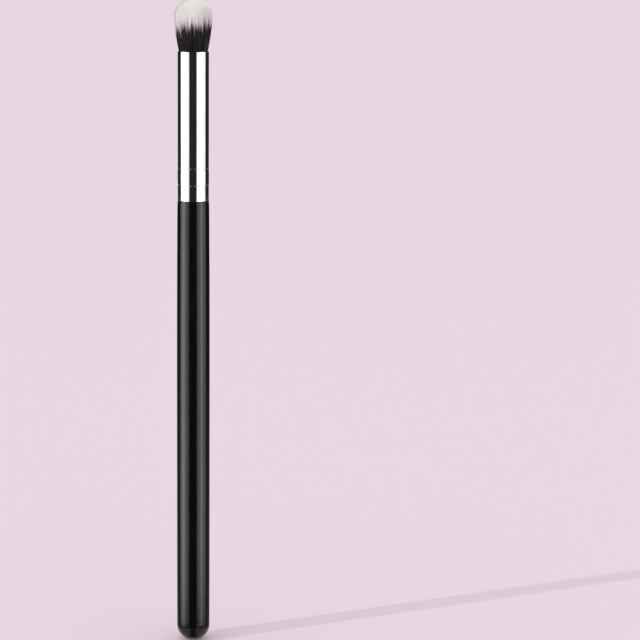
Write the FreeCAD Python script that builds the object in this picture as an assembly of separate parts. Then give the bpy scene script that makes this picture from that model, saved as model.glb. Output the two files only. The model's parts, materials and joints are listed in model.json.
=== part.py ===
import FreeCAD, Part
import math
import os

# Eyeshadow brush: a turned handle, a drawn ferrule crimped on its tenon, and a domed tuft.
# Sizes are in millimetres. +Z runs along the brush from the butt to the tuft, from the butt's end.

# Handle
handle_length = 115.5        # from the butt to the shoulder that the ferrule sits on
butt_diameter = 8.40         # where the rounded end begins
butt_length = 4.15           # height of the rounded end
butt_fullness = 0.90         # weight of the conic that rounds the end: 0.707 would be an ellipse
belly_diameter = 8.48        # straight stretch where the handle is fullest
belly_start = 32.4
belly_length = 36.0
neck_diameter = 8.20         # just below the shoulder
shoulder_ease = 1.9          # height over which the neck closes in to the ferrule
shoulder_round = 0.15        # rounded edge of the shoulder
tenon_past_crimps = 5.8      # how far the tenon reaches above the upper crimp
tenon_chamfer = 0.5

# Ferrule
ferrule_diameter = 8.00
ferrule_wall = 0.25
ferrule_length = 38.1
foot_round = 0.08            # outer edge of the end that meets the handle
crimp_count = 2
crimp_height = 3.85          # from the foot to the middle of the lower crimp
crimp_spacing = 4.35
crimp_width = 0.5
crimp_depth = 0.04

# Bond between tenon and ferrule
glue_film = 0.15

# Fibres held in the ferrule
set_length = 12.0            # from the mouth down to the cut ends of the fibres
fibre_clearance = 0.03       # between the packed fibres and the bore
resin_depth = 2.5            # plug cast below the cut ends
binding_height = 2.6         # from the cut ends to the middle of the binding
binding_width = 1.6
binding_thickness = 0.35

# Free fibres
free_length = 13.5           # from the mouth to the top of the dome
widest_diameter = 9.85
widest_height = 9.05         # above the mouth
flare_height = 7.9           # where the two tangents of the flaring side meet, above the mouth
dome_fullness = 0.68         # weight of the conic that rounds the dome
dye_height = 6.3             # above the mouth: dark fibres below, white tips above

# Places and radii that follow from the sizes above
ferrule_radius = ferrule_diameter / 2
bore_radius = ferrule_radius - ferrule_wall
tenon_radius = bore_radius - glue_film
fibre_radius = bore_radius - fibre_clearance
waist_radius = fibre_radius - binding_thickness
foot = handle_length
mouth = foot + ferrule_length
crimps = [foot + crimp_height + crimp_spacing * step for step in range(crimp_count)]
tenon_top = crimps[-1] + tenon_past_crimps
glue_top = tenon_top - tenon_chamfer
cut_ends = mouth - set_length
binding_low = cut_ends + binding_height - binding_width / 2
tuft_top = mouth + free_length


def point(radius, height):
    return FreeCAD.Vector(radius, 0, height)


def line(start, end):
    return Part.LineSegment(start, end).toShape()


def arc(start, middle, end):
    return Part.Arc(start, middle, end).toShape()


def corner(start, sharp, end):
    """Quarter circle from start to end, rounding the right angle at the sharp point."""
    centre = start + end - sharp
    return arc(start, centre + (sharp - centre) * math.sqrt(0.5), end)


def sweep(start, control, end, weight=1.0):
    """Conic from start to end, tangent at both to lines through the control point."""
    conic = Part.BezierCurve()
    conic.setPoles([start, control, end])
    conic.setWeight(2, weight)
    return conic.toShape()


def crimped_wall(radius, low, high):
    """Edges up a round wall of this radius, dented inward at each crimp."""
    edges = []
    reached = point(radius, low)
    for crimp in crimps:
        enter = point(radius, crimp - crimp_width / 2)
        leave = point(radius, crimp + crimp_width / 2)
        edges.append(line(reached, enter))
        edges.append(arc(enter, point(radius - crimp_depth, crimp), leave))
        reached = leave
    edges.append(line(reached, point(radius, high)))
    return edges


def turned(edges):
    """Solid of revolution about the brush axis from a closed outline."""
    outline = Part.Face(Part.Wire(Part.__sortEdges__(edges)))
    return Part.makeSolid(outline.revolve(FreeCAD.Vector(), FreeCAD.Vector(0, 0, 1), 360))


def handle():
    butt = point(butt_diameter / 2, butt_length)
    belly_low = point(belly_diameter / 2, belly_start)
    belly_high = point(belly_diameter / 2, belly_start + belly_length)
    neck = point(neck_diameter / 2, handle_length - shoulder_ease)
    shoulder_low = point(ferrule_radius, foot - shoulder_round)
    shoulder_in = point(ferrule_radius - shoulder_round, foot)
    chamfer_low = point(tenon_radius, glue_top)
    chamfer_high = point(tenon_radius - tenon_chamfer, tenon_top)
    edges = [
        sweep(point(0, 0), point(butt_diameter / 2, 0), butt, butt_fullness),
        sweep(butt, point(belly_low.x, (butt.z + belly_low.z) / 2), belly_low),
        line(belly_low, belly_high),
        sweep(belly_high, point(belly_high.x, (belly_high.z + neck.z) / 2), neck),
        sweep(neck, point(neck.x, (neck.z + shoulder_low.z) / 2), shoulder_low),
        corner(shoulder_low, point(ferrule_radius, foot), shoulder_in),
        line(shoulder_in, point(tenon_radius, foot)),
    ]
    edges += crimped_wall(tenon_radius, foot, glue_top)
    edges += [
        line(chamfer_low, chamfer_high),
        line(chamfer_high, point(0, tenon_top)),
        line(point(0, tenon_top), point(0, 0)),
    ]
    return turned(edges)


def ferrule():
    lip_low = mouth - ferrule_wall / 2
    lip_top = point(ferrule_radius - ferrule_wall / 2, mouth)
    foot_side = point(ferrule_radius, foot + foot_round)
    foot_under = point(ferrule_radius - foot_round, foot)
    edges = [
        line(point(bore_radius, foot), foot_under),
        corner(foot_under, point(ferrule_radius, foot), foot_side),
        arc(point(ferrule_radius, lip_low), lip_top, point(bore_radius, lip_low)),
    ]
    edges += crimped_wall(ferrule_radius, foot_side.z, lip_low)
    edges += crimped_wall(bore_radius, foot, lip_low)
    return turned(edges)


def tenon_glue():
    edges = [
        line(point(tenon_radius, foot), point(bore_radius, foot)),
        line(point(tenon_radius, glue_top), point(bore_radius, glue_top)),
    ]
    edges += crimped_wall(tenon_radius, foot, glue_top)
    edges += crimped_wall(bore_radius, foot, glue_top)
    return turned(edges)


def setting_resin():
    return Part.makeCylinder(bore_radius, resin_depth, point(0, cut_ends - resin_depth))


def tuft_root():
    root = Part.makeCylinder(fibre_radius, set_length, point(0, cut_ends))
    return root.cut(binding_thread())


def binding_thread():
    band = Part.makeCylinder(fibre_radius, binding_width, point(0, binding_low))
    return band.cut(Part.makeCylinder(waist_radius, binding_width, point(0, binding_low)))


def free_fibres():
    base = point(fibre_radius, mouth)
    widest = point(widest_diameter / 2, mouth + widest_height)
    top = point(0, tuft_top)
    return turned([
        line(point(0, mouth), base),
        sweep(base, point(widest.x, mouth + flare_height), widest),
        sweep(widest, point(widest.x, top.z), top, dome_fullness),
        line(top, point(0, mouth)),
    ])


def dark_zone():
    return Part.makeCylinder(widest_diameter, dye_height, point(0, mouth))


def tuft_belly():
    return free_fibres().common(dark_zone())


def tuft_crown():
    return free_fibres().cut(dark_zone())


os.makedirs("parts", exist_ok=True)
pieces = (handle, ferrule, tenon_glue, setting_resin, binding_thread, tuft_root, tuft_belly, tuft_crown)
for piece in pieces:
    piece().exportStep("parts/" + piece.__name__ + ".step")
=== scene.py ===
import json
import math

import bpy
import numpy as np
from bpy.props import FloatProperty, FloatVectorProperty, IntProperty, PointerProperty
from mathutils import Matrix, Vector

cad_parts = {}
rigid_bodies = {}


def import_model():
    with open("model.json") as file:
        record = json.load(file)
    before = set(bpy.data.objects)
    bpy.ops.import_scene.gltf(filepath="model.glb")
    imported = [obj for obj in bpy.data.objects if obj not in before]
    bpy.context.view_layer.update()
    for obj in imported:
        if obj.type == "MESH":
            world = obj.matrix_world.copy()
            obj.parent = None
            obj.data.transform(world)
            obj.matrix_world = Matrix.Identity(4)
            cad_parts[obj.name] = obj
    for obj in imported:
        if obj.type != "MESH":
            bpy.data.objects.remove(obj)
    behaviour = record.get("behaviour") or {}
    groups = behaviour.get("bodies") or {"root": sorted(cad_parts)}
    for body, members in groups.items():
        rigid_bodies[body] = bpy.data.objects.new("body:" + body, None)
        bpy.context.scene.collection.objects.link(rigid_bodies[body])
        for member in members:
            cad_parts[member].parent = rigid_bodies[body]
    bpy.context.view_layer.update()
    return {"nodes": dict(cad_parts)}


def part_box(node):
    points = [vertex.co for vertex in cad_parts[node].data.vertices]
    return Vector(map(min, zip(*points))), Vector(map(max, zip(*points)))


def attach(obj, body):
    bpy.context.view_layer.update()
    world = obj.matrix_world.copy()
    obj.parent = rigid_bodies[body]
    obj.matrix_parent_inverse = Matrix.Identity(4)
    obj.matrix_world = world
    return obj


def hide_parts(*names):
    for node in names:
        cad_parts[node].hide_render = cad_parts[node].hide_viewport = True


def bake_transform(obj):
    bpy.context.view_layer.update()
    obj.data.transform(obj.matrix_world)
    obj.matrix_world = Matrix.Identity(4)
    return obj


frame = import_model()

bl_info = {
    "name": "Eyeshadow Brush",
    "version": (1, 0, 0),
    "blender": (4, 5, 0),
    "location": "View3D > Sidebar > Brush",
    "description": "Dresses the solids of an eyeshadow brush as lacquer, bright plate and fibres",
    "category": "Object",
}

BODY, TUFT = "brush_body", "tuft"
BAKE_MAP = "OFBake"
GOLDEN_ANGLE = math.pi * (3 - math.sqrt(5))
TURNED_STEPS = 160              # faces round a turned piece
SHARP_EDGE = math.radians(40)   # an edge that turns by more than this stays sharp
WELD = 2e-7                     # points nearer than this become one
FIBRE_POINTS = 11               # along each fibre
SET_POINTS = 2                  # of these, the ones inside the ferrule
FIBRE_SIDES = 3

# Heights above the butt and radii, in metres, from the packed solids
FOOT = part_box("ferrule")[0].z
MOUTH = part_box("ferrule")[1].z
GLUE_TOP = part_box("tenon_glue")[1].z
TENON_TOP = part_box("handle")[1].z
CUT_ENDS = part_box("tuft_root")[0].z
TIE_LOW, TIE_HIGH = (corner.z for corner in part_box("binding_thread"))
DYE_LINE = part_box("tuft_crown")[0].z
TUFT_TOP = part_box("tuft_crown")[1].z
FERRULE_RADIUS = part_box("ferrule")[1].x
FIBRE_PACK_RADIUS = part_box("tuft_root")[1].x
BELLY_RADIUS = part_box("handle")[1].x
WIDEST_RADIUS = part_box("tuft_crown")[1].x


# Settings

def length(name, description, default):
    return FloatProperty(name=name, description=description, default=default, min=0.0, unit="LENGTH",
                         subtype="DISTANCE", precision=5)


def share(name, description, default):
    return FloatProperty(name=name, description=description, default=default, min=0.0, max=1.0,
                         subtype="FACTOR")


def colour(name, description, default):
    return FloatVectorProperty(name=name, description=description, default=default, size=3, min=0.0,
                               max=1.0, subtype="COLOR")


def bearing(name, description, degrees):
    return FloatProperty(name=name, description=description, default=math.radians(degrees),
                         subtype="ANGLE", unit="ROTATION")


class BrushHandle(bpy.types.PropertyGroup):
    """Turned handle under black lacquer"""
    butt_diameter: length("Butt Diameter", "Width where the rounded end begins", 0.0084)
    butt_height: length("Butt Height", "Height of the rounded end", 0.00415)
    butt_fullness: share("Butt Fullness", "Weight of the conic that rounds the end", 0.9)
    belly_low: length("Belly Start", "Where the fullest stretch begins", 0.0324)
    belly_high: length("Belly End", "Where the fullest stretch ends", 0.0684)
    neck_diameter: length("Neck Diameter", "Width just below the shoulder", 0.0082)
    shoulder_ease: length("Shoulder Ease", "Height over which the neck closes in", 0.0019)
    shoulder_round: length("Shoulder Round", "Rounded edge of the shoulder", 0.00015)
    tenon_radius: length("Tenon Radius", "Half the width of the peg in the ferrule", 0.0036)
    lacquer: colour("Lacquer", "Colour of the lacquer", (0.0016, 0.0015, 0.0015))
    lacquer_grain: colour("Lacquer Over Grain", "Colour where the grain shows", (0.0034, 0.003, 0.0029))


class BrushFerrule(bpy.types.PropertyGroup):
    """Drawn and plated tube"""
    wall: length("Wall", "Thickness of the tube", 0.00025)
    foot_round: length("Foot Round", "Rounded edge at the handle", 0.00008)
    crimp_height: length("Crimp Height", "From the foot to the lower crimp", 0.00385)
    crimp_spacing: length("Crimp Spacing", "Between the two crimps", 0.00435)
    crimp_width: length("Crimp Width", "Width of a rolled crimp", 0.0005)
    crimp_depth: length("Crimp Depth", "Depth of a rolled crimp", 0.00004)
    swell: length("Swell", "How far the wall swells between the crimps", 0.00003)
    plate: colour("Plate", "Colour of the plating", (0.92, 0.92, 0.92))


class BrushBonds(bpy.types.PropertyGroup):
    """Thread, adhesive and resin inside the ferrule"""
    wraps: IntProperty(name="Wraps", description="Widths of thread that fill the tie", default=5, min=2)
    thread: colour("Thread", "Colour of the thread", (0.66, 0.64, 0.57))
    # Painted shade: the darker colour that the grooves between the strands take
    thread_painted_shade: colour("Thread Painted Shade", "Colour between the strands", (0.42, 0.4, 0.35))
    adhesive: colour("Adhesive", "Colour of the set adhesive", (0.55, 0.5, 0.4))
    adhesive_cloud: colour("Adhesive Cloud", "Colour where it is cloudy", (0.42, 0.36, 0.26))
    resin: colour("Resin", "Colour of the cast resin", (0.35, 0.26, 0.14))
    resin_cloud: colour("Resin Cloud", "Colour where it is cloudy", (0.22, 0.15, 0.07))


class BrushTuft(bpy.types.PropertyGroup):
    """Bundle of tapered fibres, dark at the root and white at the tip"""
    fibres: IntProperty(name="Fibres per Layer", description="Fibres in each of the three layers",
                        default=3200, min=100, max=3200)
    fibre_radius: length("Fibre Radius", "Half the thickness of a fibre", 0.000034)
    locks: IntProperty(name="Locks", description="Groups that the fibres gather in", default=170, min=8)
    gather: share("Gather", "How far a fibre leans to the middle of its lock", 0.2)
    widest_height: length("Widest Height", "From the mouth to the widest place", 0.00905)
    bend_length: length("Bend Length", "Free length over which the fibres bend", 0.0085)
    flare: FloatProperty(name="Flare", description="Power of the curve from the mouth to the widest place",
                         default=1.5, min=1.0)
    dome: FloatProperty(name="Dome", description="Power of the dome's outline, 2 for an ellipse",
                        default=1.8, min=1.0)
    closing: share("Closing", "How far the outer fibres close in over the dome", 0.5)
    stray: length("Stray", "How far a tip wanders", 0.00022)
    uneven: length("Uneven Tips", "How far the tips differ in height", 0.0004)
    proud: length("Proud Tips", "How far the few longest fibres stand out", 0.0003)
    dye_reach: length("Dye Reach", "How far the dye line wanders up and down", 0.00075)
    dye_slant: length("Dye Slant", "How much higher the dye line lies at one side", 0.00065)
    root: colour("Root", "Colour of the dyed part", (0.0105, 0.0083, 0.0088))
    blend: colour("Blend", "Colour where the dye ends", (0.2, 0.17, 0.19))
    fade: colour("Fade", "Colour where the last of the dye shows", (0.82, 0.75, 0.785))
    tip: colour("Tip", "Colour of the tips", (0.95, 0.925, 0.9))
    seed: IntProperty(name="Seed", description="Seed of the fibres' places", default=7)


class BrushStage(bpy.types.PropertyGroup):
    """Floor, lamps and camera"""
    floor: colour("Floor", "Colour of the floor", (0.80, 0.68, 0.75))
    distance: length("Distance", "From the camera to the point it looks at", 0.8)
    elevation: bearing("Elevation", "How far the camera looks down", 9.5)
    roll: bearing("Roll", "Turn of the camera about its own line of sight", 0.3905)
    aim_side: length("Aim Side", "Where the camera looks, to the right of the brush", 0.032584)
    aim_height: length("Aim Height", "Where the camera looks, above the butt", 0.084625)
    lens: FloatProperty(name="Lens", description="Focal length", default=174.911, unit="CAMERA")


# Node trees

def pick(sockets, key):
    """The socket with this identifier, name or number."""
    named = [s for s in sockets if s.identifier == key] if isinstance(key, str) else []
    return named[0] if named else sockets[key]


class Graph:
    """A node tree while it is being made."""

    def __init__(self, tree):
        self.tree = tree

    def feed(self, target, value):
        if isinstance(value, bpy.types.Node):
            value = value.outputs[0]
        if isinstance(value, bpy.types.NodeSocket):
            self.tree.links.new(value, target)
        else:
            target.default_value = value

    def add(self, kind, inputs=None, **options):
        node = self.tree.nodes.new(kind)
        for name, value in options.items():
            setattr(node, name, value)
        for key, value in (inputs or {}).items():
            self.feed(pick(node.inputs, key), value)
        return node

    def math(self, operation, *values, clamp=False):
        node = self.add("ShaderNodeMath", dict(enumerate(values)), operation=operation)
        node.use_clamp = clamp
        return node.outputs[0]

    def whole(self, operation, *values):
        node = self.add("FunctionNodeIntegerMath", dict(enumerate(values)), operation=operation)
        return node.outputs[0]

    def vector(self, operation, *values, out=0):
        node = self.add("ShaderNodeVectorMath", dict(enumerate(values)), operation=operation)
        return node.outputs[out]

    def scaled(self, vector, by):
        return self.add("ShaderNodeVectorMath", {"Vector": vector, "Scale": by}, operation="SCALE").outputs[0]

    def along(self, value, low, high, start=0.0, end=1.0, kind="SMOOTHSTEP"):
        """value carried from the range low..high to start..end."""
        inputs = {"Value": value, "From Min": low, "From Max": high, "To Min": start, "To Max": end}
        return self.add("ShaderNodeMapRange", inputs, interpolation_type=kind).outputs[0]

    def mixed(self, factor, a, b):
        inputs = {"Factor_Float": factor, "A_Color": a, "B_Color": b}
        return self.add("ShaderNodeMix", inputs, data_type="RGBA").outputs[2]

    def ramp(self, factor, stops):
        node = self.add("ShaderNodeValToRGB", {"Fac": factor})
        while len(node.color_ramp.elements) < len(stops):
            node.color_ramp.elements.new(0.5)
        for element, (place, tint) in zip(node.color_ramp.elements, stops):
            element.position, element.color = place, tint
        return node.outputs[0]


def shared(name, make):
    """The node tree of this name, made when it is first asked for."""
    return bpy.data.node_groups.get(name) or make(name)


def solid(rgb):
    return (*rgb, 1.0)


# Shapes

def conic(start, control, end, weight, steps):
    """Points after start on the conic to end, tangent at both to lines through control."""
    found = []
    for step in range(1, steps + 1):
        t = step / steps
        a, b, c = (1 - t) ** 2, 2 * weight * t * (1 - t), t * t
        found.append(tuple((a * s + b * m + c * e) / (a + b + c) for s, m, e in zip(start, control, end)))
    return found


def straight(start, end, steps):
    return [tuple(s + (e - s) * step / steps for s, e in zip(start, end)) for step in range(1, steps + 1)]


def rounded(centre, radius, first, last, steps):
    """Points of an arc, from one angle to another in degrees."""
    angles = [math.radians(first + (last - first) * step / steps) for step in range(steps + 1)]
    return [(centre[0] + radius * math.cos(a), centre[1] + radius * math.sin(a)) for a in angles]


def rolled(radius, height, width, depth, steps):
    """Points up a wall across a rolled crimp."""
    found = []
    for step in range(steps + 1):
        u = 2 * step / steps - 1
        found.append((radius - depth * (1 + math.cos(math.pi * u)) / 2, height + u * width / 2))
    return found


def new_tree(name, counts, measures):
    """An empty geometry tree that takes a shape, these counts and measures, and a material."""
    tree = bpy.data.node_groups.new(name, "GeometryNodeTree")
    sockets = {"Geometry": "Geometry", **dict.fromkeys(counts, "Int"), **dict.fromkeys(measures, "Float"),
               "Material": "Material"}
    for label, kind in sockets.items():
        tree.interface.new_socket(label, in_out="INPUT", socket_type="NodeSocket" + kind)
    tree.interface.new_socket("Geometry", in_out="OUTPUT", socket_type="NodeSocketGeometry")
    graph = Graph(tree)
    return graph, graph.add("NodeGroupInput").outputs, graph.add("NodeGroupOutput")


def close_tree(graph, given, end, shape):
    """Ends a geometry tree with this shape in the material that the tree was given."""
    real = graph.add("GeometryNodeRealizeInstances", {"Geometry": shape})
    finished = graph.add("GeometryNodeSetMaterial", {"Geometry": real, "Material": given["Material"]})
    graph.feed(end.inputs[0], finished)
    return graph.tree


def lathe_tree(name):
    """Turns an outline in the XZ plane, bottom to top, about the Z axis."""
    graph, given, end = new_tree(name, ("Steps",), ("Sharp",))
    size = graph.add("GeometryNodeAttributeDomainSize", {"Geometry": given["Geometry"]}, component="MESH")
    rows = size.outputs["Point Count"]
    columns = graph.whole("ADD", given["Steps"], 1)
    grid = graph.add("GeometryNodeMeshGrid", {"Vertices X": columns, "Vertices Y": rows})
    index = graph.add("GeometryNodeInputIndex").outputs[0]
    outline = graph.add("GeometryNodeSampleIndex", {
        "Geometry": given["Geometry"],
        "Value": graph.add("GeometryNodeInputPosition"),
        "Index": graph.whole("MODULO", index, rows)}, data_type="FLOAT_VECTOR")
    place = graph.add("ShaderNodeSeparateXYZ", {0: outline})
    turn = graph.math("DIVIDE", graph.whole("DIVIDE_FLOOR", index, rows), given["Steps"])
    angle = graph.math("MULTIPLY", turn, 2 * math.pi)
    moved = graph.add("ShaderNodeCombineXYZ", {
        "X": graph.math("MULTIPLY", place.outputs["X"], graph.math("COSINE", angle)),
        "Y": graph.math("MULTIPLY", place.outputs["X"], graph.math("SINE", angle)),
        "Z": place.outputs["Z"]})
    shape = graph.add("GeometryNodeSetPosition", {"Geometry": grid, "Position": moved})
    shape = graph.add("GeometryNodeMergeByDistance", {"Geometry": shape, "Distance": WELD})
    edge = graph.add("GeometryNodeInputMeshEdgeAngle").outputs[0]
    sharp = graph.math("GREATER_THAN", edge, given["Sharp"])
    shape = graph.add("GeometryNodeSetShadeSmooth", {"Geometry": shape, "Shade Smooth": True}, domain="FACE")
    shape = graph.add("GeometryNodeSetShadeSmooth", {
        "Geometry": shape, "Selection": sharp, "Shade Smooth": False}, domain="EDGE")
    return close_tree(graph, given, end, shape)


def winding_tree(name):
    """Winds a thread round the bundle in a close helix."""
    graph, given, end = new_tree(name, (), ("Turns", "Radius", "Low", "High", "Thread Radius"))
    height = graph.math("SUBTRACT", given["High"], given["Low"])
    helix = graph.add("GeometryNodeCurveSpiral", {
        "Resolution": 48, "Rotations": given["Turns"], "Start Radius": given["Radius"],
        "End Radius": given["Radius"], "Height": height})
    lift = graph.add("ShaderNodeCombineXYZ", {"Z": given["Low"]})
    helix = graph.add("GeometryNodeSetPosition", {"Geometry": helix, "Offset": lift})
    round_thread = graph.add("GeometryNodeCurvePrimitiveCircle", {
        "Resolution": 10, "Radius": given["Thread Radius"]})
    shape = graph.add("GeometryNodeCurveToMesh", {
        "Curve": helix, "Profile Curve": round_thread, "Fill Caps": True})
    shape = graph.add("GeometryNodeSetShadeSmooth", {"Geometry": shape, "Shade Smooth": True})
    return close_tree(graph, given, end, shape)


def fibre_tree(name):
    """Grows a bundle of fibres from their cut ends through the tie and the mouth to a domed top.
    A fibre keeps its place across the bundle, as a share of the bundle's radius, and leans to its lock."""
    graph, given, end = new_tree(name, ("Fibres", "Points", "Seed", "Locks"), (
        "Inner Area", "Outer Area", "Cut Height", "Tie Height", "Mouth Height", "Tie Radius", "Mouth Radius",
        "Widest Radius", "Widest Height", "Free Length", "Flare", "Dome", "Closing", "Fibre Radius",
        "Gather", "Stray", "Uneven", "Proud", "Dye Height", "Dye Reach", "Dye Slant"))
    sums, whole = graph.math, graph.whole
    wisps_per_lock, lock_jog, wisp_jog = 6, 0.05, 0.04
    tip_crowding, lean_power, proud_power = 1.3, 1.4, 9.0
    spike_top, spike_fall, wisp_wobble, fibre_wobble = 0.36, -0.6, 0.4, 0.9
    tall_wisp, tall_power, deep_fibre, deep_power = 1.8, 5.0, -3.0, 7.0
    streak_width, streak_pace = 3.7, 330.0

    def chance(number, draw, low=0.0, high=1.0):
        """A value from low to high for each number, by the draw of this number."""
        node = graph.add("FunctionNodeRandomValue", {
            "Min_001": low, "Max_001": high, "ID": number, "Seed": whole("ADD", given["Seed"], draw)},
            data_type="FLOAT")
        return node.outputs[1]

    def either(test, yes, no):
        return graph.add("GeometryNodeSwitch", {"Switch": test, "False": no, "True": yes},
                         input_type="FLOAT").outputs[0]

    def on_disc(number, distance):
        """The place of a numbered point on a disc that is filled as a sunflower is."""
        angle = sums("MULTIPLY", number, GOLDEN_ANGLE)
        return graph.add("ShaderNodeCombineXYZ", {
            "X": sums("MULTIPLY", distance, sums("COSINE", angle)),
            "Y": sums("MULTIPLY", distance, sums("SINE", angle))}).outputs[0]

    index = graph.add("GeometryNodeInputIndex").outputs[0]
    fibre = whole("DIVIDE_FLOOR", index, given["Points"])
    step = whole("MODULO", index, given["Points"])
    filled = sums("DIVIDE", sums("ADD", fibre, 0.5), given["Fibres"])
    band = sums("SUBTRACT", given["Outer Area"], given["Inner Area"])
    across = sums("SQRT", sums("MULTIPLY_ADD", filled, band, given["Inner Area"]))
    at = on_disc(fibre, across)
    at_parts = graph.add("ShaderNodeSeparateXYZ", {0: at}).outputs

    def gathered(count, jog, draw):
        """The number and the middle of the group that a fibre belongs to, of this many groups."""
        from_centre = sums("SQRT", sums("DIVIDE", sums("ADD", index, 0.5), count))
        aside = graph.add("FunctionNodeRandomValue", {
            "Min": (-jog, -jog, 0.0), "Max": (jog, jog, 0.0), "ID": index,
            "Seed": whole("ADD", given["Seed"], draw)}, data_type="FLOAT_VECTOR").outputs[0]
        points = graph.add("GeometryNodePoints", {
            "Count": count, "Position": graph.vector("ADD", on_disc(index, from_centre), aside)})
        number = graph.add("GeometryNodeSampleNearest", {"Geometry": points, "Sample Position": at},
                           domain="POINT").outputs[0]
        middle = graph.add("GeometryNodeSampleIndex", {
            "Geometry": points, "Value": graph.add("GeometryNodeInputPosition"), "Index": number},
            data_type="FLOAT_VECTOR").outputs[0]
        return number, middle

    lock, middle = gathered(given["Locks"], lock_jog, 1)
    wisps = whole("MULTIPLY", given["Locks"], wisps_per_lock)
    wisp, wisp_middle = gathered(wisps, wisp_jog, 8)
    from_middle = sums("MULTIPLY", graph.vector("DISTANCE", at, wisp_middle, out=1), sums("SQRT", wisps))

    # How far up its free length a point is: 0 at the mouth and 1 at the tip, where the points are closest
    t = sums("DIVIDE", sums("SUBTRACT", step, SET_POINTS),
             sums("SUBTRACT", given["Points"], SET_POINTS + 1), clamp=True)
    t = sums("SUBTRACT", 1.0, sums("POWER", sums("SUBTRACT", 1.0, t), tip_crowding))

    def domed(part):
        """The dome's height at a share of its radius, as a share of its own, or the other way round."""
        rest = sums("SUBTRACT", 1.0, sums("POWER", part, given["Dome"]), clamp=True)
        return sums("POWER", rest, sums("DIVIDE", 1.0, given["Dome"]))

    # Height above the mouth: outer fibres close in over the dome, and a few stand proud
    open_part = sums("SUBTRACT", 1.0, given["Closing"])
    tip_across = sums("DIVIDE", sums("MULTIPLY", across, open_part),
                      sums("SUBTRACT", 1.0, sums("MULTIPLY", given["Closing"], across)))
    crown = sums("SUBTRACT", given["Free Length"], given["Widest Height"])
    tip = sums("MULTIPLY_ADD", domed(tip_across), crown, given["Widest Height"])
    tip = sums("SUBTRACT", tip, sums("MULTIPLY", given["Uneven"], chance(fibre, 2)))
    proud = sums("MULTIPLY", sums("MULTIPLY", given["Proud"], across),
                 sums("POWER", chance(fibre, 10), proud_power))
    tip = sums("ADD", tip, proud)
    free_height = sums("MULTIPLY", tip, t)
    is_cut, is_set = (sums("LESS_THAN", step, count - 0.5) for count in (1, SET_POINTS))
    set_height = sums("SUBTRACT", either(is_cut, given["Cut Height"], given["Tie Height"]),
                      given["Mouth Height"])
    height = either(is_set, set_height, free_height)

    # Radius of the bundle at that height
    left = sums("MAXIMUM", sums("SUBTRACT", 1.0, sums("DIVIDE", height, given["Widest Height"])), 0.0)
    flare = sums("MULTIPLY", sums("POWER", left, given["Flare"]),
                 sums("SUBTRACT", given["Widest Radius"], given["Mouth Radius"]))
    radius = either(is_set, given["Tie Radius"], sums("SUBTRACT", given["Widest Radius"], flare))
    up_dome = sums("DIVIDE", sums("SUBTRACT", height, given["Widest Height"]), crown, clamp=True)
    radius = sums("MULTIPLY", radius, sums("MULTIPLY_ADD", domed(up_dome), given["Closing"], open_part))

    # Place across the bundle: leaning to the middle of the lock, and straying more towards the tip
    lean = sums("MULTIPLY", sums("MULTIPLY", given["Gather"], chance(lock, 3, 0.3, 1.0)),
                sums("POWER", t, lean_power))
    leaning = graph.add("ShaderNodeMix", {"Factor_Float": lean, "A_Vector": at, "B_Vector": middle},
                        data_type="VECTOR").outputs[1]
    wave = graph.add("ShaderNodeTexNoise", {
        "Vector": graph.add("ShaderNodeCombineXYZ", {
            "X": at_parts["X"], "Y": at_parts["Y"], "Z": chance(fibre, 4, 0.0, 0.35)}),
        "Scale": 7.0, "Detail": 2.0}, noise_dimensions="3D").outputs["Color"]
    wander = graph.vector("MULTIPLY", graph.vector("SUBTRACT", wave, (0.5, 0.5, 0.5)), (2.0, 2.0, 0.0))
    wander = graph.scaled(wander, sums("MULTIPLY", given["Stray"], sums("MULTIPLY", t, t)))
    place = graph.vector("ADD", graph.scaled(leaning, sums("MULTIPLY_ADD", proud, t, radius)), wander)
    lift = graph.add("ShaderNodeCombineXYZ", {"Z": sums("ADD", given["Mouth Height"], height)})
    place = graph.vector("ADD", place, lift)

    # Where the dye ends on this fibre: highest in the middle of its wisp, and higher on a few wisps
    spike = sums("MULTIPLY_ADD", from_middle, spike_fall, spike_top)
    wobble = sums("ADD", chance(wisp, 6, -wisp_wobble, wisp_wobble),
                  chance(fibre, 5, -fibre_wobble, fibre_wobble))
    tall = sums("MULTIPLY", sums("POWER", chance(wisp, 11), tall_power), tall_wisp)
    deep = sums("MULTIPLY", sums("POWER", chance(fibre, 12), deep_power), deep_fibre)
    wobble = sums("ADD", wobble, sums("ADD", tall, deep))
    dye = sums("MULTIPLY_ADD", sums("ADD", spike, wobble), given["Dye Reach"], given["Dye Height"])
    dye = sums("MULTIPLY_ADD", at_parts["X"], given["Dye Slant"], dye)

    # Tone: streaks along each wisp, and each fibre's own tone. In the dyed part the material lightens these
    # streaks, partly as lighter fibres and partly as painted sheen
    streak = graph.add("ShaderNodeTexNoise", {
        "Vector": graph.add("ShaderNodeCombineXYZ", {
            "X": sums("MULTIPLY", wisp, streak_width), "Y": sums("MULTIPLY", height, streak_pace)}),
        "Scale": 1.0, "Detail": 0.0}, noise_dimensions="2D").outputs[0]
    streak = sums("MULTIPLY_ADD", graph.along(streak, 0.3, 0.7), 0.6,
                  sums("MULTIPLY", chance(wisp, 9), 0.4))
    tone = sums("MULTIPLY_ADD", streak, 0.65, sums("MULTIPLY", chance(fibre, 7), 0.35))
    thickness = sums("MULTIPLY", given["Fibre Radius"], graph.along(t, 0.6, 1.0, 1.0, 0.5))

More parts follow.
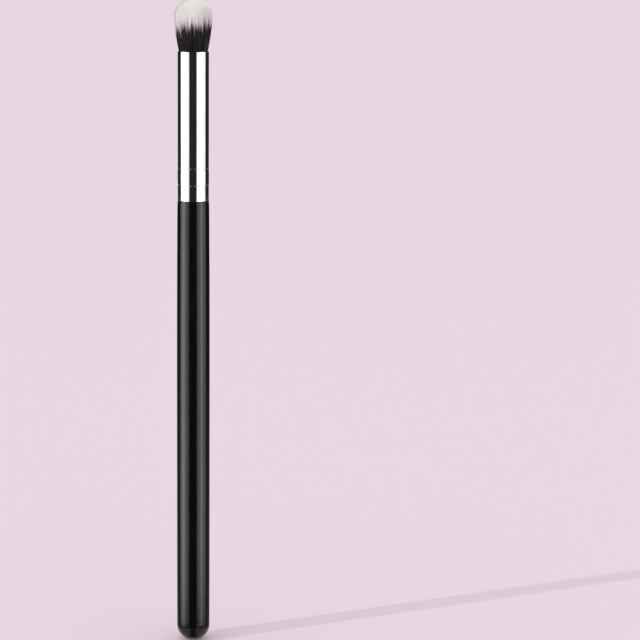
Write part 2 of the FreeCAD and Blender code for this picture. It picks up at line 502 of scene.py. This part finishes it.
    shape = graph.add("GeometryNodePoints", {
        "Count": whole("MULTIPLY", given["Fibres"], given["Points"]), "Position": place}).outputs[0]
    for label, value in (("fibre_height", height), ("dye_line", dye), ("fibre_tone", tone),
                         ("fibre_radius", thickness)):
        shape = graph.add("GeometryNodeStoreNamedAttribute", {
            "Geometry": shape, "Name": label, "Value": value}, data_type="FLOAT", domain="POINT").outputs[0]
    curves = graph.add("GeometryNodePointsToCurves", {
        "Points": shape, "Curve Group ID": fibre, "Weight": step})
    section = graph.add("GeometryNodeCurvePrimitiveCircle", {"Resolution": FIBRE_SIDES, "Radius": 1.0})
    kept = graph.add("GeometryNodeInputNamedAttribute", {"Name": "fibre_radius"}, data_type="FLOAT")
    shape = graph.add("GeometryNodeCurveToMesh", {
        "Curve": curves, "Profile Curve": section, "Scale": kept, "Fill Caps": True})
    shape = graph.add("GeometryNodeSetShadeSmooth", {"Geometry": shape, "Shade Smooth": True})
    return close_tree(graph, given, end, shape)


def grown(name, tree, values, points=(), edges=()):
    """A plain mesh object that the tree makes from an outline, or from its values alone."""
    seedling = bpy.data.meshes.new(name)
    seedling.from_pydata(list(points), list(edges), [])
    maker = bpy.data.objects.new(name + "_maker", seedling)
    bpy.context.scene.collection.objects.link(maker)
    modifier = maker.modifiers.new("Shape", "NODES")
    modifier.node_group = tree
    keys = {item.name: item.identifier for item in tree.interface.items_tree
            if item.item_type == "SOCKET" and item.in_out == "INPUT"}
    for key, value in values.items():
        modifier[keys[key]] = value
    depsgraph = bpy.context.evaluated_depsgraph_get()
    mesh = bpy.data.meshes.new_from_object(maker.evaluated_get(depsgraph), depsgraph=depsgraph)
    mesh.name = name
    maker.modifiers.remove(modifier)
    bpy.data.objects.remove(maker)
    bpy.data.meshes.remove(seedling)
    if not mesh.polygons:
        raise RuntimeError(f"{name} came out empty")
    piece = bpy.data.objects.new(name, mesh)
    bpy.context.scene.collection.objects.link(piece)
    return piece


def turned(name, outline, material):
    """A piece turned from an outline of radii and heights, bottom to top."""
    points = [(radius, 0.0, height) for radius, height in outline]
    edges = [(n, n + 1) for n in range(len(points) - 1)]
    values = {"Steps": TURNED_STEPS, "Sharp": SHARP_EDGE, "Material": material}
    return grown(name, shared("Turned Piece", lathe_tree), values, points, edges)


# Finishes

def marks_tree(name):
    """Handling marks that lacquer and plate share: soft smudges and fine lengthwise lines."""
    tree = bpy.data.node_groups.new(name, "ShaderNodeTree")
    for label, kind in (("Vector", "Vector"), ("Smudge Scale", "Float"), ("Line Scale", "Float"),
                        ("Line Length", "Float")):
        tree.interface.new_socket(label, in_out="INPUT", socket_type="NodeSocket" + kind)
    for label in ("Smudge", "Lines"):
        tree.interface.new_socket(label, in_out="OUTPUT", socket_type="NodeSocketFloat")
    graph = Graph(tree)
    given, end = graph.add("NodeGroupInput").outputs, graph.add("NodeGroupOutput")
    smudge = graph.add("ShaderNodeTexNoise", {
        "Vector": given["Vector"], "Scale": given["Smudge Scale"], "Detail": 4.0, "Roughness": 0.6})
    graph.feed(end.inputs["Smudge"], graph.along(smudge, 0.35, 0.7))
    drawn_out = graph.add("ShaderNodeCombineXYZ", {
        "X": 1.0, "Y": 1.0, "Z": graph.math("DIVIDE", 1.0, given["Line Length"])})
    stretched = graph.vector("MULTIPLY", given["Vector"], drawn_out)
    lines = graph.add("ShaderNodeTexNoise", {
        "Vector": stretched, "Scale": given["Line Scale"], "Detail": 3.0, "Roughness": 0.55})
    graph.feed(end.inputs["Lines"], lines)
    return tree


def handled(graph, place, smudge_scale, line_scale, line_length):
    """The smudges and the lines of a surface that hands have touched."""
    worn = graph.add("ShaderNodeGroup", {
        "Vector": place, "Smudge Scale": smudge_scale, "Line Scale": line_scale,
        "Line Length": line_length}, node_tree=shared("Handling Marks", marks_tree))
    return worn.outputs["Smudge"], worn.outputs["Lines"]


def new_material(name, kind="ShaderNodeBsdfPrincipled"):
    """An empty material with one shader, its node tree and that shader."""
    material = bpy.data.materials.new(name)
    material.use_nodes = True
    material.node_tree.nodes.clear()
    graph = Graph(material.node_tree)
    shader = graph.add(kind)
    graph.add("ShaderNodeOutputMaterial", {"Surface": shader})
    return material, graph, shader


def object_place(graph):
    return graph.add("ShaderNodeTexCoord").outputs["Object"]


def bumped(graph, shader, height, distance):
    bump = graph.add("ShaderNodeBump", {"Height": height, "Distance": distance, "Strength": 1.0})
    graph.feed(shader.inputs["Normal"], bump)
    return bump


def lacquer_material(look):
    """Black lacquer over turned wood: a glossy coat, faint grain and a little orange peel."""
    material, graph, shader = new_material("black_lacquer")
    place = object_place(graph)
    smudge, lines = handled(graph, place, smudge_scale=260.0, line_scale=2600.0, line_length=22.0)
    tint = graph.mixed(graph.along(lines, 0.45, 0.7), solid(look.lacquer), solid(look.lacquer_grain))
    graph.feed(shader.inputs["Base Color"], tint)
    shader.inputs["Specular IOR Level"].default_value = 0.06
    graph.feed(shader.inputs["Roughness"], graph.along(smudge, 0.0, 1.0, 0.38, 0.5))
    shader.inputs["Coat Weight"].default_value = 1.0
    shader.inputs["Coat Roughness"].default_value = 0.06
    shader.inputs["Coat IOR"].default_value = 1.5
    peel = graph.add("ShaderNodeTexNoise", {"Vector": place, "Scale": 1700.0, "Detail": 2.0})
    height = graph.math("MULTIPLY_ADD", lines, 0.35, peel)
    bump = bumped(graph, shader, height, 1.4e-5)
    graph.feed(shader.inputs["Coat Normal"], bump)
    return material


def plate_material(look):
    """Mirror-bright plate on a drawn tube: faint draw lines, smudges and a slow waviness."""
    material, graph, shader = new_material("bright_plate")
    place = object_place(graph)
    smudge, lines = handled(graph, place, smudge_scale=420.0, line_scale=5200.0, line_length=40.0)
    dulled = tuple(0.93 * c for c in look.plate)
    graph.feed(shader.inputs["Base Color"], graph.mixed(smudge, solid(look.plate), solid(dulled)))
    shader.inputs["Metallic"].default_value = 1.0
    graph.feed(shader.inputs["Roughness"], graph.along(smudge, 0.0, 1.0, 0.035, 0.085))
    wave = graph.add("ShaderNodeTexNoise", {"Vector": place, "Scale": 190.0, "Detail": 1.0})
    height = graph.math("MULTIPLY_ADD", lines, 0.02, wave)
    bumped(graph, shader, height, 1.2e-5)
    return material


def cast_material(name, clear, cloudy, rough, scale, gloss):
    """Set adhesive or resin: cloudy in places, with small bubbles."""
    material, graph, shader = new_material(name)
    place = object_place(graph)
    cloud = graph.add("ShaderNodeTexNoise", {"Vector": place, "Scale": scale, "Detail": 3.0})
    tint = graph.mixed(graph.along(cloud, 0.35, 0.7), solid(clear), solid(cloudy))
    graph.feed(shader.inputs["Base Color"], tint)
    bubbles = graph.add("ShaderNodeTexVoronoi", {"Vector": place, "Scale": scale * 3})
    graph.feed(shader.inputs["Roughness"], graph.along(cloud, 0.3, 0.7, rough, rough + 0.15))
    shader.inputs["Coat Weight"].default_value = gloss
    bumped(graph, shader, graph.along(bubbles, 0.0, 0.3), 2e-5)
    return material


def thread_material(look):
    """Twisted thread: strands that lie slantwise, with a little fluff, and painted shade in the grooves
    between them.
    """
    material, graph, shader = new_material("twisted_thread")
    place = object_place(graph)
    twist = graph.add("ShaderNodeTexWave", {
        "Vector": graph.vector("MULTIPLY", place, (1.0, 1.0, 2.4)), "Scale": 1500.0, "Distortion": 1.5,
        "Detail": 2.0}, bands_direction="DIAGONAL")
    # Painted shade: the thread takes the darker colour in the grooves between the strands
    graph.feed(shader.inputs["Base Color"],
               graph.mixed(twist.outputs[1], solid(look.thread_painted_shade), solid(look.thread)))
    graph.feed(shader.inputs["Roughness"], graph.along(twist.outputs[1], 0.0, 1.0, 0.9, 0.75))
    bumped(graph, shader, twist.outputs[1], 4e-5)
    return material


def fibre_material(look):
    """Satin fibre, dyed at the root, with the dye fading out where each fibre's own line lies."""
    material, graph, shader = new_material("dyed_fibre")
    height, line, tone = (graph.add("ShaderNodeAttribute", attribute_name=name).outputs["Fac"]
                          for name in ("fibre_height", "dye_line", "fibre_tone"))
    above = graph.along(graph.math("SUBTRACT", height, line), -0.0006, 0.003, kind="LINEAR")
    tint = graph.ramp(above, ((0.0, solid(look.root)), (0.16, solid(look.blend)), (0.48, solid(look.fade)),
                              (1.0, solid(look.tip))))
    white_shade = graph.along(tone, 0.0, 1.0, 0.9, 1.06, kind="LINEAR")
    # Dyed part: streaks from 0.1 to 4.6 times the root colour, partly lighter fibres and partly painted sheen
    dark_streaks_and_sheen = graph.along(tone, 0.3, 0.85, 0.1, 4.6, kind="LINEAR")
    shade = graph.along(above, 0.0, 0.3, dark_streaks_and_sheen, white_shade)
    graph.feed(shader.inputs["Base Color"], graph.scaled(tint, shade))
    graph.feed(shader.inputs["Roughness"], graph.along(above, 0.0, 0.5, 0.42, 0.6))
    shader.inputs["Specular IOR Level"].default_value = 0.3
    return material


def floor_material(tint):
    """Plain matt floor with a barely visible tooth."""
    material, graph, shader = new_material("studio_floor")
    place = object_place(graph)
    tooth = graph.add("ShaderNodeTexNoise", {"Vector": place, "Scale": 900.0, "Detail": 2.0})
    duller = tuple(0.985 * c for c in tint)
    graph.feed(shader.inputs["Base Color"], graph.mixed(tooth, solid(duller), solid(tint)))
    shader.inputs["Roughness"].default_value = 0.95
    shader.inputs["Specular IOR Level"].default_value = 0.05
    return material


def box_material(name, glow):
    """Diffuser of a soft box: brightest at its lamp, dimmer towards its ends and its lower edge."""
    material, graph, shader = new_material(name, "ShaderNodeEmission")
    place = graph.add("ShaderNodeSeparateXYZ", {0: graph.add("ShaderNodeTexCoord").outputs["UV"]}).outputs
    brightest = max(level for _, level in glow)
    stops = [(across, solid((level / brightest,) * 3)) for across, level in glow]
    lower_edge = graph.along(place["Y"], 0.02, 0.1, 0.0, brightest)
    strength = graph.math("MULTIPLY", graph.ramp(place["X"], stops), lower_edge)
    graph.feed(shader.inputs["Strength"], strength)
    return material


# Pieces

class BrushOperator:
    """What the brush's operators have in common"""
    bl_options = {"REGISTER", "UNDO"}


class TurnHandle(BrushOperator, bpy.types.Operator):
    """Turns the handle and lacquers it"""
    bl_idname = "object.brush_turn_handle"
    bl_label = "Turn Handle"

    def execute(self, context):
        look = context.scene.brush_handle
        butt = (look.butt_diameter / 2, look.butt_height)
        low, high = (BELLY_RADIUS, look.belly_low), (BELLY_RADIUS, look.belly_high)
        neck = (look.neck_diameter / 2, FOOT - look.shoulder_ease)
        edge = look.shoulder_round
        shoulder = (FERRULE_RADIUS, FOOT - edge)
        chamfer = TENON_TOP - GLUE_TOP
        outline = [(0.0, 0.0)]
        outline += conic((0.0, 0.0), (butt[0], 0.0), butt, look.butt_fullness, 28)
        outline += conic(butt, (low[0], (butt[1] + low[1]) / 2), low, 1.0, 16)
        outline += straight(low, high, 8)
        outline += conic(high, (high[0], (high[1] + neck[1]) / 2), neck, 1.0, 20)
        outline += conic(neck, (neck[0], (neck[1] + shoulder[1]) / 2), shoulder, 1.0, 10)
        outline += rounded((FERRULE_RADIUS - edge, FOOT - edge), edge, 0, 90, 6)[1:]
        outline += [(look.tenon_radius, FOOT), (look.tenon_radius, GLUE_TOP),
                    (look.tenon_radius - chamfer, TENON_TOP), (0.0, TENON_TOP)]
        piece = turned("lacquered_handle", outline, lacquer_material(look))
        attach(piece, BODY)
        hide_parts("handle")
        return {"FINISHED"}


class DrawFerrule(BrushOperator, bpy.types.Operator):
    """Draws the ferrule, rolls its crimps and plates it"""
    bl_idname = "object.brush_draw_ferrule"
    bl_label = "Draw Ferrule"

    def execute(self, context):
        look = context.scene.brush_ferrule
        bore, edge, lip = FERRULE_RADIUS - look.wall, look.foot_round, look.wall / 2
        crimps = [FOOT + look.crimp_height + n * look.crimp_spacing for n in range(2)]
        top = MOUTH - lip
        roll_steps, swell_steps = 24, 17
        outer, inner = [], []
        for radius, wall in ((FERRULE_RADIUS, outer), (bore, inner)):
            for height in crimps:
                wall += rolled(radius, height, look.crimp_width, look.crimp_depth, roll_steps)
        second = roll_steps + 1
        between = straight(outer[second - 1], outer[second], swell_steps)[:-1]
        outer[second:second] = [
            (radius + look.swell * math.sin(math.pi * (step + 1) / swell_steps), height)
            for step, (radius, height) in enumerate(between)]
        outline = [(bore, FOOT)]
        outline += rounded((FERRULE_RADIUS - edge, FOOT + edge), edge, -90, 0, 6)
        outline += outer
        outline += straight((FERRULE_RADIUS, crimps[1] + look.crimp_width), (FERRULE_RADIUS, top), 6)
        outline += rounded((FERRULE_RADIUS - lip, top), lip, 0, 180, 14)[1:]
        outline += inner[::-1]
        outline += [(bore, FOOT)]
        piece = turned("plated_ferrule", outline, plate_material(look))
        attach(piece, BODY)
        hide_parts("ferrule")
        return {"FINISHED"}


class SetBonds(BrushOperator, bpy.types.Operator):
    """Finishes the adhesive on the tenon and the resin at the cut ends"""
    bl_idname = "object.brush_set_bonds"
    bl_label = "Set Bonds"

    def execute(self, context):
        look = context.scene.brush_bonds
        finishes = {
            "tenon_glue": cast_material("set_adhesive", look.adhesive, look.adhesive_cloud,
                                        rough=0.3, scale=500.0, gloss=0.3),
            "setting_resin": cast_material("cast_resin", look.resin, look.resin_cloud,
                                           rough=0.25, scale=800.0, gloss=0.5),
        }
        for node, finish in finishes.items():
            mesh = frame["nodes"][node].data
            mesh.materials.clear()
            mesh.materials.append(finish)
        return {"FINISHED"}


def thread_width(look):
    return (TIE_HIGH - TIE_LOW) / look.wraps


class WindThread(BrushOperator, bpy.types.Operator):
    """Winds the thread that ties the fibres above their cut ends"""
    bl_idname = "object.brush_wind_thread"
    bl_label = "Wind Thread"

    def execute(self, context):
        look = context.scene.brush_bonds
        thick = thread_width(look) / 2
        values = {"Turns": look.wraps - 1.0, "Radius": FIBRE_PACK_RADIUS - thick, "Low": TIE_LOW + thick,
                  "High": TIE_HIGH - thick, "Thread Radius": thick, "Material": thread_material(look)}
        piece = grown("wound_thread", shared("Wound Thread", winding_tree), values)
        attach(piece, BODY)
        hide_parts("binding_thread")
        return {"FINISHED"}


def read(mesh, name):
    values = np.empty(len(mesh.vertices), np.float32)
    mesh.attributes[name].data.foreach_get("value", values)
    return values


def past_dye(mesh):
    """How far each point is beyond the end of its fibre's dye."""
    return read(mesh, "fibre_height") - read(mesh, "dye_line")


def lay_bake_map(mesh):
    """Lays each face where its colour is: the fibre's tone across the map, and up it the way past the dye.
    Faces that lie on each other then have one colour, so a bake needs no room for each fibre."""
    margin, tone_width, side_width = 0.03, 0.9, 0.02
    dye_place, map_height = 0.6, 0.035
    corner = np.empty(len(mesh.loops), np.int32)
    mesh.loops.foreach_get("vertex_index", corner)
    side = np.arange(len(mesh.vertices)) % FIBRE_SIDES
    across = margin + tone_width * read(mesh, "fibre_tone") + side_width * side
    up = dye_place + past_dye(mesh) / map_height
    spread = np.stack([across, np.clip(up, 0.01, 0.99)], 1)[corner]
    layer = mesh.uv_layers.new(name=BAKE_MAP)
    layer.uv.foreach_set("vector", spread.astype(np.float32).ravel())


def soften(mesh):
    """Turns the fibres' normals towards the form of the whole tuft, most of all where they are white.
    Light then passes softly from fibre to fibre, as it does in a real bundle."""
    form_start, form_rise = MOUTH + 0.006, 0.8
    dark_share, white_share, blend_length = 0.15, 0.8, 0.002
    places = np.empty(len(mesh.vertices) * 3, np.float32)
    own = np.empty_like(places)
    mesh.vertices.foreach_get("co", places)
    mesh.vertex_normals.foreach_get("vector", own)
    form, own = places.reshape(-1, 3), own.reshape(-1, 3)
    form[:, 2] = form_rise * np.maximum(form[:, 2] - form_start, 0.0)
    form /= np.maximum(np.linalg.norm(form, axis=1, keepdims=True), 1e-9)
    white = np.clip(past_dye(mesh) / blend_length + 0.5, 0.0, 1.0)[:, None]
    weight = dark_share + (white_share - dark_share) * white
    mixed = weight * form + (1 - weight) * own
    mixed /= np.linalg.norm(mixed, axis=1, keepdims=True)
    mesh.normals_split_custom_set_from_vertices(mixed.tolist())


class GrowTuft(BrushOperator, bpy.types.Operator):
    """Grows the fibres from their cut ends to the domed top, in three layers"""
    bl_idname = "object.brush_grow_tuft"
    bl_label = "Grow Tuft"

    def execute(self, context):
        look = context.scene.brush_tuft
        tree, finish = shared("Fibre Bundle", fibre_tree), fibre_material(look)
        layers = (("outer_fibres", 2 / 3, 1.0, 0, "tuft_belly", "dark_fibre"),
                  ("middle_fibres", 1 / 3, 2 / 3, 25, "tuft_root", "dark_fibre"),
                  ("inner_fibres", 0.0, 1 / 3, 50, "tuft_crown", "white_fibre"))
        thick = look.fibre_radius
        under_thread = 1.15 * thread_width(context.scene.brush_bonds)   # the tie draws the fibres in
        tie = FIBRE_PACK_RADIUS - under_thread - thick
        for name, inner, outer, step, node, slot in layers:
            piece = grown(name, tree, {
                "Fibres": look.fibres, "Points": FIBRE_POINTS, "Inner Area": inner, "Outer Area": outer,
                "Seed": look.seed + step, "Cut Height": CUT_ENDS, "Tie Height": TIE_HIGH,
                "Mouth Height": MOUTH, "Tie Radius": tie, "Mouth Radius": FIBRE_PACK_RADIUS - thick,
                "Widest Radius": WIDEST_RADIUS - 2 * thick, "Widest Height": look.widest_height,
                "Free Length": TUFT_TOP - MOUTH, "Flare": look.flare, "Dome": look.dome,
                "Closing": look.closing, "Fibre Radius": thick, "Locks": look.locks, "Gather": look.gather,
                "Stray": look.stray, "Uneven": look.uneven, "Proud": look.proud,
                "Dye Height": DYE_LINE - MOUTH, "Dye Reach": look.dye_reach, "Dye Slant": look.dye_slant,
                "Material": finish})
            lay_bake_map(piece.data)
            soften(piece.data)
            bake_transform(piece)
            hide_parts(node)
        return {"FINISHED"}


# Stage

def soft_box(name, first, last, glow):
    """A soft box bent round the brush between two bearings, counted from the front to the right.
    Only gloss sees it. Its glow is given from its first bearing, 0, to its last, 1."""
    steps, reach, low, high = 32, 0.7, -0.25, 0.75
    vertices, faces = [], []
    for step in range(steps + 1):
        angle = math.radians(first + (last - first) * step / steps)
        for height in (low, high):
            vertices.append((reach * math.sin(angle), -reach * math.cos(angle), height))
    for step in range(steps):
        a = 2 * step
        faces.append((a, a + 2, a + 3, a + 1))
    mesh = bpy.data.meshes.new(name)
    mesh.from_pydata(vertices, [], faces)
    layer = mesh.uv_layers.new(name="across")
    for loop, spot in zip(mesh.loops, layer.uv):
        spot.vector = (loop.vertex_index // 2 / steps, loop.vertex_index % 2)
    mesh.materials.append(box_material(name, glow))
    piece = bpy.data.objects.new(name, mesh)
    bpy.context.scene.collection.objects.link(piece)
    piece.visible_camera = piece.visible_diffuse = piece.visible_shadow = False
    return piece


def sky_lamp(name, strength, spread, towards, lights=None, shaded_by=None):
    """A far lamp that leaves no highlight. It may light, or be shaded by, one collection only."""
    lamp = bpy.data.lights.new(name, "SUN")
    lamp.energy, lamp.angle = strength, math.radians(spread)
    piece = bpy.data.objects.new(name, lamp)
    piece.rotation_euler = Vector(towards).to_track_quat("-Z", "Y").to_euler()
    piece.visible_glossy = False
    piece.light_linking.receiver_collection = lights
    piece.light_linking.blocker_collection = shaded_by
    bpy.context.scene.collection.objects.link(piece)


def dim_room(floor):
    """The room as gloss sees it: dark at the brush's height, paler behind it and pale at its foot."""
    world = bpy.data.worlds.new("dim_room")
    world.use_nodes = True
    graph = Graph(world.node_tree)
    aim = graph.add("ShaderNodeSeparateXYZ", {0: graph.add("ShaderNodeTexCoord").outputs["Generated"]})
    behind = graph.along(aim.outputs["Y"], 0.0, 0.6)
    table = graph.along(aim.outputs["Z"], -0.13, -0.3, 0.0, behind)
    dark, dusky = (0.02, 0.02, 0.02), (0.18, 0.14, 0.16)
    shade = graph.mixed(table, solid(dark), solid(dusky))
    aside = graph.along(graph.math("ABSOLUTE", aim.outputs["X"]), 0.12, 0.5, 0.05, 0.75)
    foot = graph.along(aim.outputs["Z"], -0.3, -0.45, 0.0, aside)
    shade = graph.mixed(foot, shade, solid(floor))
    graph.feed(world.node_tree.nodes["Background"].inputs["Color"], shade)
    return world


# Soft boxes: name, first and last bearing in degrees, and the glow across each
SOFT_BOXES = (
    ("soft_box_left", -28.5, -101.5, (
        (0.0, 0.9), (0.17, 1.2), (0.27, 1.57), (0.38, 2.24), (0.49, 3.3), (0.57, 3.6), (0.62, 3.4),
        (0.73, 2.55), (0.84, 1.9), (0.95, 1.1), (1.0, 0.95))),
    ("soft_box_right", 26.4, 101.4, (
        (0.0, 0.9), (0.05, 0.95), (0.14, 1.3), (0.25, 1.7), (0.35, 2.25), (0.46, 3.07), (0.57, 2.5),
        (0.68, 1.5), (0.8, 1.05), (1.0, 0.95))),
    ("soft_box_back", 163.0, 197.0, (
        (0.0, 0.3), (0.3, 0.9), (0.5, 1.5), (0.7, 0.9), (1.0, 0.3))),
)


class SetStage(BrushOperator, bpy.types.Operator):
    """Lays the floor, sets the lamps and places the camera"""
    bl_idname = "object.brush_set_stage"
    bl_label = "Set Stage"

    def execute(self, context):
        look, scene = context.scene.brush_stage, context.scene
        brush, ground = (bpy.data.collections.new(name) for name in ("brush", "ground"))
        for piece in scene.objects:
            if piece.type == "MESH":
                brush.objects.link(piece)
        flat, cove = 2.6, 1.6
        outline = [(0.0, 0.0), *rounded((flat, cove), cove, -90, -20, 16)]
        floor = turned("studio_floor", outline, floor_material(look.floor))
        floor.visible_glossy = False
        ground.objects.link(floor)
        for name, first, last, glow in SOFT_BOXES:
            box = soft_box(name, first, last, glow)
            box.light_linking.receiver_collection = brush
        sky_lamp("overhead", 2.88, 150.0, (0.0, 0.0, -1.0), lights=brush)
        sky_lamp("front", 1.55, 60.0, (0.36, 0.85, -0.4), lights=brush)
        sky_lamp("wash", 2.81, 170.0, (0.0, 0.0, -1.0), lights=ground, shaded_by=ground)
        sky_lamp("key", 0.55, 1.0, (0.62, 0.36, -0.7))
        scene.world = dim_room(look.floor)
        scene.view_settings.view_transform = "Standard"

        data = bpy.data.cameras.new("camera")
        data.lens, data.sensor_width = look.lens, 36.0
        data.clip_start, data.clip_end = 0.05, 20.0
        camera = bpy.data.objects.new("camera", data)
        scene.collection.objects.link(camera)
        away = Vector((0.0, -math.cos(look.elevation), math.sin(look.elevation)))
        place = Vector((look.aim_side, 0.0, look.aim_height)) + look.distance * away
        facing = (-away).to_track_quat("-Z", "Y").to_matrix().to_4x4()
        camera.matrix_world = Matrix.Translation(place) @ facing @ Matrix.Rotation(look.roll, 4, "Z")
        scene.camera = camera
        return {"FINISHED"}


class BrushPanel(bpy.types.Panel):
    """Lists the steps that dress the brush"""
    bl_idname = "VIEW3D_PT_brush"
    bl_label = "Eyeshadow Brush"
    bl_space_type = "VIEW_3D"
    bl_region_type = "UI"
    bl_category = "Brush"

    def draw(self, context):
        for holder, group in SETTINGS.items():
            box = self.layout.box()
            box.label(text=group.__doc__)
            for key in group.__annotations__:
                box.prop(getattr(context.scene, holder), key)
        for step in STEPS:
            self.layout.operator(step.bl_idname)


SETTINGS = {
    "brush_handle": BrushHandle,
    "brush_ferrule": BrushFerrule,
    "brush_bonds": BrushBonds,
    "brush_tuft": BrushTuft,
    "brush_stage": BrushStage,
}
STEPS = (TurnHandle, DrawFerrule, SetBonds, WindThread, GrowTuft, SetStage)


def register():
    for holder, group in SETTINGS.items():
        bpy.utils.register_class(group)
        setattr(bpy.types.Scene, holder, PointerProperty(type=group))
    for step in (*STEPS, BrushPanel):
        bpy.utils.register_class(step)


def unregister():
    for step in (BrushPanel, *reversed(STEPS)):
        bpy.utils.unregister_class(step)
    for holder, group in reversed(SETTINGS.items()):
        delattr(bpy.types.Scene, holder)
        bpy.utils.unregister_class(group)


def main():
    register()
    for step in STEPS:
        category, name = step.bl_idname.split(".")
        getattr(getattr(bpy.ops, category), name)()


if __name__ == "__main__":
    main()
